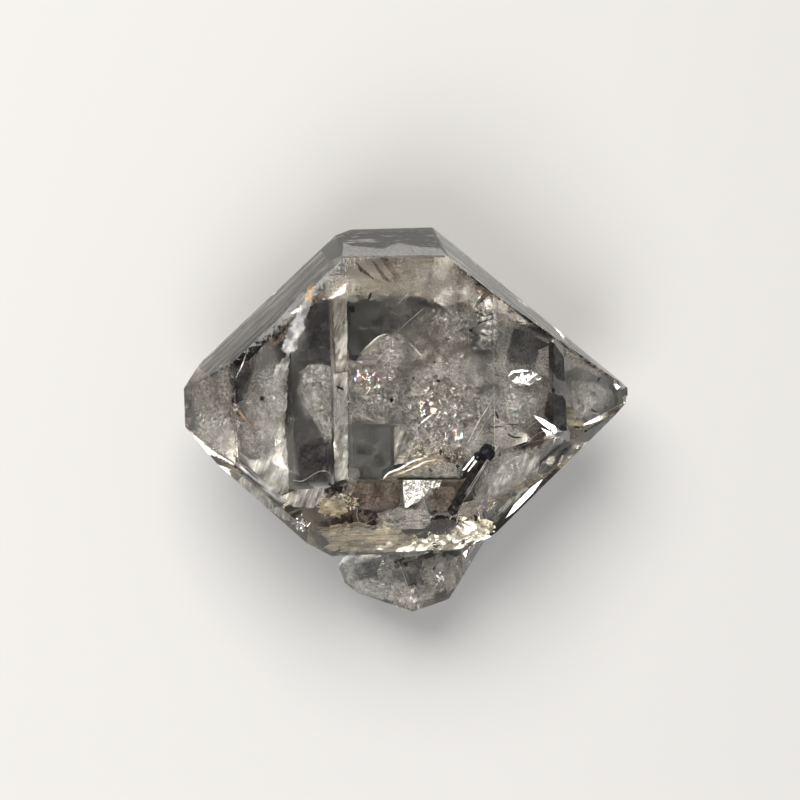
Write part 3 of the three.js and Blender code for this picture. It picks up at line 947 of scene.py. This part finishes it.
def carbon_rod():
    """A tarry rod, thicker in the middle, with a foot at one end and a round glossy head at the other."""
    bm = bmesh.new()
    line = [(483, 459), (476, 470), (468, 483), (460, 495), (453, 507)]
    path = smooth_path([inside(x, y, 2.2 - 0.2 * k) for k, (x, y) in enumerate(line)], steps=5)
    last = len(path) - 1
    radii = [
        0.43 + 0.15 * math.sin(math.pi * k / last) + 0.06 * noise.noise(p * 1.4)
        for k, p in enumerate(path)
    ]
    add_tube(bm, path, radii, sides=9, flat=0.75)
    add_lump(bm, inside(453, 508, depth=1.3), (0.55, 0.85, 0.4), turn_to(0, 0, spin=-25), seed=8)
    piece("carbon_rod", bm, ROD, smooth=False)
    bm = bmesh.new()
    add_lump(bm, inside(486, 452, depth=1.7), (1.04, 0.98, 0.7), turn_to(10, 40, spin=30), seed=3, bumpy=0.22)
    add_lump(bm, inside(477, 456, depth=2), (0.42, 0.62, 0.4), turn_to(0, 0, spin=10), seed=5)
    piece("carbon_rod_head", bm, HEAD, smooth=False)


def carbon_specks():
    """Black flecks: picture place and depth, then length and width in mm."""
    bm = bmesh.new()
    specks = [
        (438, 381, 4.6, 0.34, 0.16), (413, 378, 4.8, 0.18, 0.14), (497, 415, 1.2, 0.55, 0.14),
        (594, 411, 0.8, 0.36, 0.15), (479, 323, 4, 0.26, 0.16), (370, 297, 9, 0.5, 0.2),
        (352, 310, 9.5, 0.42, 0.3), (577, 427, 0.8, 0.42, 0.1), (391, 400, 5, 0.3, 0.2),
        (553, 390, 1, 0.34, 0.26), (430, 470, 3.8, 0.3, 0.12), (440, 452, 4.2, 0.2, 0.4),
        (448, 458, 3.8, 0.16, 0.3), (475, 494, 2, 0.34, 0.14), (457, 466, 3, 0.24, 0.2),
        (288, 396, 6, 0.16, 0.16), (571, 383, 2.4, 0.3, 0.1), (378, 523, 2.4, 0.7, 0.3),
        (405, 520, 2.4, 0.25, 0.8), (434, 362, 5.4, 0.14, 0.1), (500, 455, 1.8, 0.22, 0.12),
        (523, 447, 1.3, 0.5, 0.1), (586, 431, 1.1, 0.22, 0.14), (340, 388, 6.4, 0.18, 0.5),
        (262, 398, 5.8, 0.3, 0.25), (512, 304, 2.6, 0.36, 0.24), (599, 379, 1.4, 0.42, 0.14),
        (470, 330, 5, 0.2, 0.3),
    ]
    for k, (x, y, depth, a, b) in enumerate(specks):
        add_lump(bm, inside(x, y, depth), (a, b, 0.5 * min(a, b) + 0.04),
                 turn_to(8, 50 * k, 8 * math.sin(k)), seed=k, detail=2, bumpy=0.55)
    piece("carbon_specks", bm, CARBON, smooth=False, margin=0.05)


def dark_clusters():
    """Heaps of dark grains and single ones: picture place and depth, reach in pixels, and how many."""
    bm = bmesh.new()
    rng = random.Random(5)
    for x, y, depth, reach, count in (
        (441, 524, 0.7, (5, 4), 90), (422, 536, 0.6, (3.6, 1.6), 26), (437, 545, 0.5, (2, 1.4), 10),
        (463, 541, 0.5, (1.6, 1), 6), (474, 520, 1.6, (3, 2), 9), (335, 489, 4.4, (5, 3), 30),
    ):
        for k in range(count):
            seen_at = (x + rng.gauss(0, reach[0]), y + rng.gauss(0, reach[1]))
            p = inside(*seen_at, depth + rng.uniform(-0.15, 0.3))
            add_lump(bm, p, [rng.uniform(0.1, 0.34) for _ in range(3)],
                     turn_to(rng.uniform(0, 60), rng.uniform(0, 360), 0), seed=k + x, detail=2, bumpy=0.7)
    piece("dark_clusters", bm, CLUSTER, smooth=False, margin=0.06)


def iron_stain():
    """Orange crumbs: picture place and depth, then how far they are strewn in mm."""
    bm = bmesh.new()
    rng = random.Random(9)
    for x, y, depth, a, b in ((308, 291, 0.9, 0.6, 0.6), (309, 297, 1, 0.5, 0.4), (312, 288, 0.9, 0.6, 0.4)):
        for _ in range(14):
            off = Vector((rng.gauss(0, a * 0.4), rng.gauss(0, b * 0.5), rng.gauss(0, 0.1)))
            add_lump(bm, inside(x, y, depth) + off, (rng.uniform(0.1, 0.28), rng.uniform(0.1, 0.26), 0.06),
                     turn_to(10, 40, 20), seed=rng.randint(0, 99), detail=2, bumpy=0.6)
    piece("iron_stain", bm, STAIN, smooth=False, margin=0.05)


def brown_needle():
    """A flat needle and a thinner one beside it: a line in the picture, its depth and thickness."""
    bm = bmesh.new()
    for line, depth, thick in (
        ([(237, 409), (244, 418), (251, 426)], 2.2, 0.22),
        ([(253, 425), (256, 418), (257, 413)], 2, 0.1),
    ):
        path = path_inside(line, depth)
        add_tube(bm, path, [thick] * len(path), sides=6, flat=0.5)
    piece("brown_needle", bm, BROWN, smooth=False)


carbon_rod()
carbon_specks()
dark_clusters()
iron_stain()
brown_needle()
hairlines("crack_edges", EDGE, [
    ([(293, 480), (302, 481), (312, 475), (320, 471), (328, 472), (333, 479)], 6, 0.04),
    ([(352, 507), (357, 509), (357, 517), (362, 524), (375, 527)], 2.4, 0.05),
    ([(338, 424), (360, 423), (392, 424), (420, 427)], 7, 0.022),
    ([(350, 437), (362, 441), (376, 448), (392, 456)], 8, 0.022),
    ([(455, 518), (470, 505), (480, 498), (500, 492), (520, 485), (536, 478)], 2, 0.045),
    ([(368, 362), (380, 348), (390, 340)], 4.2, 0.02),
    ([(374, 364), (384, 352), (395, 344)], 4.2, 0.02),
    ([(382, 366), (392, 356), (404, 350)], 4.2, 0.02),
    ([(438, 262), (424, 277), (410, 292), (398, 304)], 3, 0.045),
    ([(434, 268), (420, 284), (405, 300)], 3.2, 0.035),
    ([(424, 308), (410, 320), (396, 333)], 4.2, 0.035),
    ([(356, 330), (372, 328), (392, 330), (410, 334)], 8, 0.02),
    ([(530, 470), (545, 458), (556, 448), (566, 439)], 1.6, 0.025),
    ([(520, 447), (532, 442), (548, 439), (562, 438)], 1.4, 0.04),
    ([(571, 439), (568, 450), (563, 463)], 0.8, 0.04),
    ([(498, 446), (490, 459), (478, 478), (464, 500), (455, 514)], 1.3, 0.04),
    ([(494, 304), (494, 340), (494, 380), (495, 444)], 0.8, 0.025),
    ([(468, 300), (468, 330), (469, 354)], 3, 0.02),
    ([(468, 442), (477, 424), (487, 408), (491, 400)], 1.4, 0.07),
    ([(475, 440), (484, 424), (492, 412)], 1.4, 0.04),
    ([(501, 394), (507, 402), (511, 414), (512, 424)], 1.2, 0.07),
    ([(524, 432), (532, 424), (542, 420)], 1.2, 0.05),
    ([(528, 442), (538, 433), (548, 430)], 1, 0.05),
    ([(399, 562), (404, 576), (410, 592), (416, 607)], 0.5, 0.03),
])
glints("crack_glints", SPARK, [
    ([(410, 343), (416, 350), (423, 358)], 4, 0.14),
    ([(366, 348), (371, 343), (378, 337), (386, 334)], 4.2, 0.08),
    ([(418, 425), (426, 418), (433, 413)], 5.4, 0.14),
    ([(352, 410), (362, 416), (376, 422)], 6, 0.08),
    ([(504, 372), (508, 378), (514, 384)], 3, 0.1),
    ([(382, 480), (388, 473), (400, 468), (410, 462), (424, 457)], 3.8, 0.18),
    ([(398, 474), (412, 468), (424, 462), (436, 459)], 3.8, 0.12),
    ([(500, 492), (514, 487), (528, 482), (541, 477)], 1.6, 0.14),
    ([(470, 506), (482, 499), (496, 494)], 1.8, 0.1),
    ([(236, 378), (242, 366), (247, 352)], 2, 0.06),
])
hairlines("dark_crack_edges", CARBON, [
    ([(236, 410), (237, 430), (238, 450), (240, 465)], 1.2, 0.035),
    ([(240, 467), (233, 468), (226, 467)], 1, 0.03),
    ([(240, 467), (248, 476), (258, 488), (272, 502)], 1, 0.03),
    ([(488, 424), (494, 427), (502, 426)], 1.2, 0.09),
    ([(508, 424), (518, 425)], 1.2, 0.1),
    ([(508, 434), (514, 437), (522, 437)], 1.2, 0.11),
    ([(488, 426), (490, 432), (495, 434)], 1.2, 0.06),
    ([(472, 329), (482, 322), (494, 319)], 2, 0.09),
    ([(475, 312), (484, 316), (494, 314)], 2, 0.09),
    ([(470, 338), (480, 334), (488, 336)], 2, 0.07),
    ([(411, 514), (406, 521), (400, 528)], 2.2, 0.06),
    ([(340, 384), (337, 389), (341, 396)], 6, 0.05),
])


def bubbles():
    """Round gas-filled gaps: seven larger ones and two dustings of tiny ones."""
    bm = bmesh.new()
    rng = random.Random(21)
    spots = [(292, 419, 8, 0.55), (306, 440, 8, 0.28), (301, 410, 8.2, 0.22), (409, 411, 6, 0.3),
             (308, 418, 7.6, 0.2), (298, 402, 7.8, 0.25), (372, 474, 9, 0.25)]
    for _ in range(60):
        spots.append((rng.gauss(304, 8), rng.gauss(405, 17), rng.uniform(6.5, 8.5), rng.uniform(0.04, 0.13)))
    for _ in range(70):
        spots.append((rng.gauss(376, 18), rng.gauss(412, 22), rng.uniform(5.5, 7.5), rng.uniform(0.03, 0.10)))
    for x, y, depth, r in spots:
        add_lump(bm, inside(x, y, depth), (r, r, 0.45 * r), turn_to(6, 30, 0), seed=int(x), bumpy=0.06)
    piece("bubbles", bm, BUBBLE)


bubbles()
patches("flat_bubble", HAZE, [
    dict(rim=[(345, 470), (350, 467), (356, 468), (359, 473), (358, 479), (353, 482), (347, 481), (344, 476)],
         depth=9, rough=0, fuzz=0, step=1.5),
])

# ---------------------------------------------------------------- the small crystal's inside
sheets("small_veil", WARM_HAZE, [
    dict(at=(402, 574, 2.4), size=(6.4, 4.2), tilt=14, towards=250, rough=0.4),
    dict(at=(362, 572, 1.6), size=(3, 3), tilt=30, towards=220, dome=0.2, rough=0.3),
    dict(at=(440, 576, 1.4), size=(2.6, 3.6), tilt=26, towards=320, spin=-20, dome=0.2, rough=0.3),
    dict(at=(405, 578, 3), size=(4.6, 2.4), tilt=10, towards=200, spin=-12, dome=0.4, ragged=0.3),
    dict(at=(425, 590, 4), size=(3.2, 1.8), tilt=14, towards=280, rough=0.5, ragged=0.3),
], dome=0.3, ragged=0.1, step=0.2)
patches("small_crackle", CRACKLE, [
    dict(rim=[(350, 584), (372, 576), (398, 582), (420, 590), (440, 580), (454, 562), (446, 590), (430, 604),
         (412, 609), (385, 601), (362, 592)], depth=1, rough=0.3, fuzz=2, soft=3),
    dict(rim=[(338, 560), (352, 562), (360, 580), (352, 586), (342, 574)], depth=0.7, soft=2),
])
# Painted shade: grey films that darken the small crystal's top and middle
patches("small_shade", GREY_PAINTED_SHADE, [
    dict(rim=[(344, 560), (372, 562), (400, 568), (430, 564), (452, 560), (452, 580), (432, 592), (404, 586),
         (380, 592), (352, 578)], depth=1.3, soft=7),
    dict(rim=[(348, 557), (400, 556), (452, 556), (444, 566), (424, 572), (400, 568), (376, 574), (352, 566)],
         depth=1.8, soft=6),
], fuzz=2)
small_cracks("small_crystal_cracks", [
    dict(at=(405, 580, 2.8), spread=(4.4, 2, 1.2), count=50, size=(0.15, 0.6), scatter=14),
    dict(at=(436, 574, 1.8), spread=(1.8, 1.6, 0.8), count=18, size=(0.15, 0.6), scatter=14),
], seed=41)
flakes("small_sparks", SPARK, [
    dict(at=(405, 582, 3), spread=(4.2, 2, 1.4), count=160, size=(0.03, 0.12)),
    dict(at=(404, 594, 1), reach=(22, 7, 0.5), count=70),
    dict(at=(440, 584, 0.8), reach=(8, 10, 0.4), count=24),
    dict(at=(352, 574, 0.6), reach=(7, 6, 0.3), count=12, size=(0.1, 0.4)),
], seed=14, scatter=16, size=(0.1, 0.45))
flakes("small_specks", CARBON, [
    dict(at=(369, 568, 1.8), spread=(0.5, 0.7, 0.3), count=9, size=(0.1, 0.3)),
    dict(at=(388, 579, 2), spread=(0.6, 0.3, 0.3), count=8, size=(0.1, 0.26)),
    dict(at=(398, 588, 2), spread=(0.4, 0.3, 0.3), count=7),
    dict(at=(414, 583, 1.8), spread=(0.5, 0.3, 0.3), count=7, size=(0.08, 0.24)),
    dict(at=(435, 568, 1.4), spread=(0.3, 0.3, 0.2), count=5),
    dict(at=(441, 577, 1.4), spread=(0.2, 0.8, 0.2), count=9, size=(0.08, 0.22)),
], seed=15, size=(0.1, 0.24))


# ---------------------------------------------------------------- floor, light
JUST_BELOW = -0.00001
LIGHT_BOUNCES = 40


def make_floor():
    bm = bmesh.new()
    bmesh.ops.create_circle(bm, cap_ends=True, segments=96, radius=4)
    pale = new_material("pale_floor", Base_Color=(0.64, 0.63, 0.61, 1), Roughness=0.75)[0]
    floor = show_mesh("floor", bm, pale)
    floor.location.z = JUST_BELOW


def soft_light(name, azimuth, height, distance, size, power, colour):
    """A round soft light aimed at the crystal; azimuth from +X, height above the floor in degrees."""
    data = bpy.data.lights.new(name, "AREA")
    data.shape = "DISK"
    data.size = size
    data.energy = power
    data.color = colour
    light = show(name, data)
    direction = skyward(azimuth, height)
    light.location = direction * distance
    light.rotation_euler = direction.to_track_quat("Z", "Y").to_euler()


def surroundings(colour, strength):
    """Even light from all round."""
    world = bpy.data.worlds.new("world")
    scene.world = world
    world.use_nodes = True
    background = world.node_tree.nodes["Background"]
    background.inputs["Color"].default_value = (*colour, 1)
    background.inputs["Strength"].default_value = strength


def light_paths():
    """Light may cross many films; caustics are off, or they would fill the dark windows."""
    scene.view_settings.view_transform = "Standard"
    cycles = scene.cycles
    cycles.caustics_refractive = False
    cycles.caustics_reflective = False
    cycles.max_bounces = LIGHT_BOUNCES
    cycles.glossy_bounces = LIGHT_BOUNCES
    cycles.transmission_bounces = LIGHT_BOUNCES
    cycles.transparent_max_bounces = LIGHT_BOUNCES


make_floor()
soft_light("key", **KEY_LIGHT, distance=0.75, size=0.6, power=5.8, colour=(1, 0.98, 0.95))
soft_light("fill", **FILL_LIGHT, distance=0.8, size=0.5, power=4.2, colour=(0.98, 0.98, 1))
surroundings(colour=(0.95, 0.97, 1), strength=0.16)
light_paths()
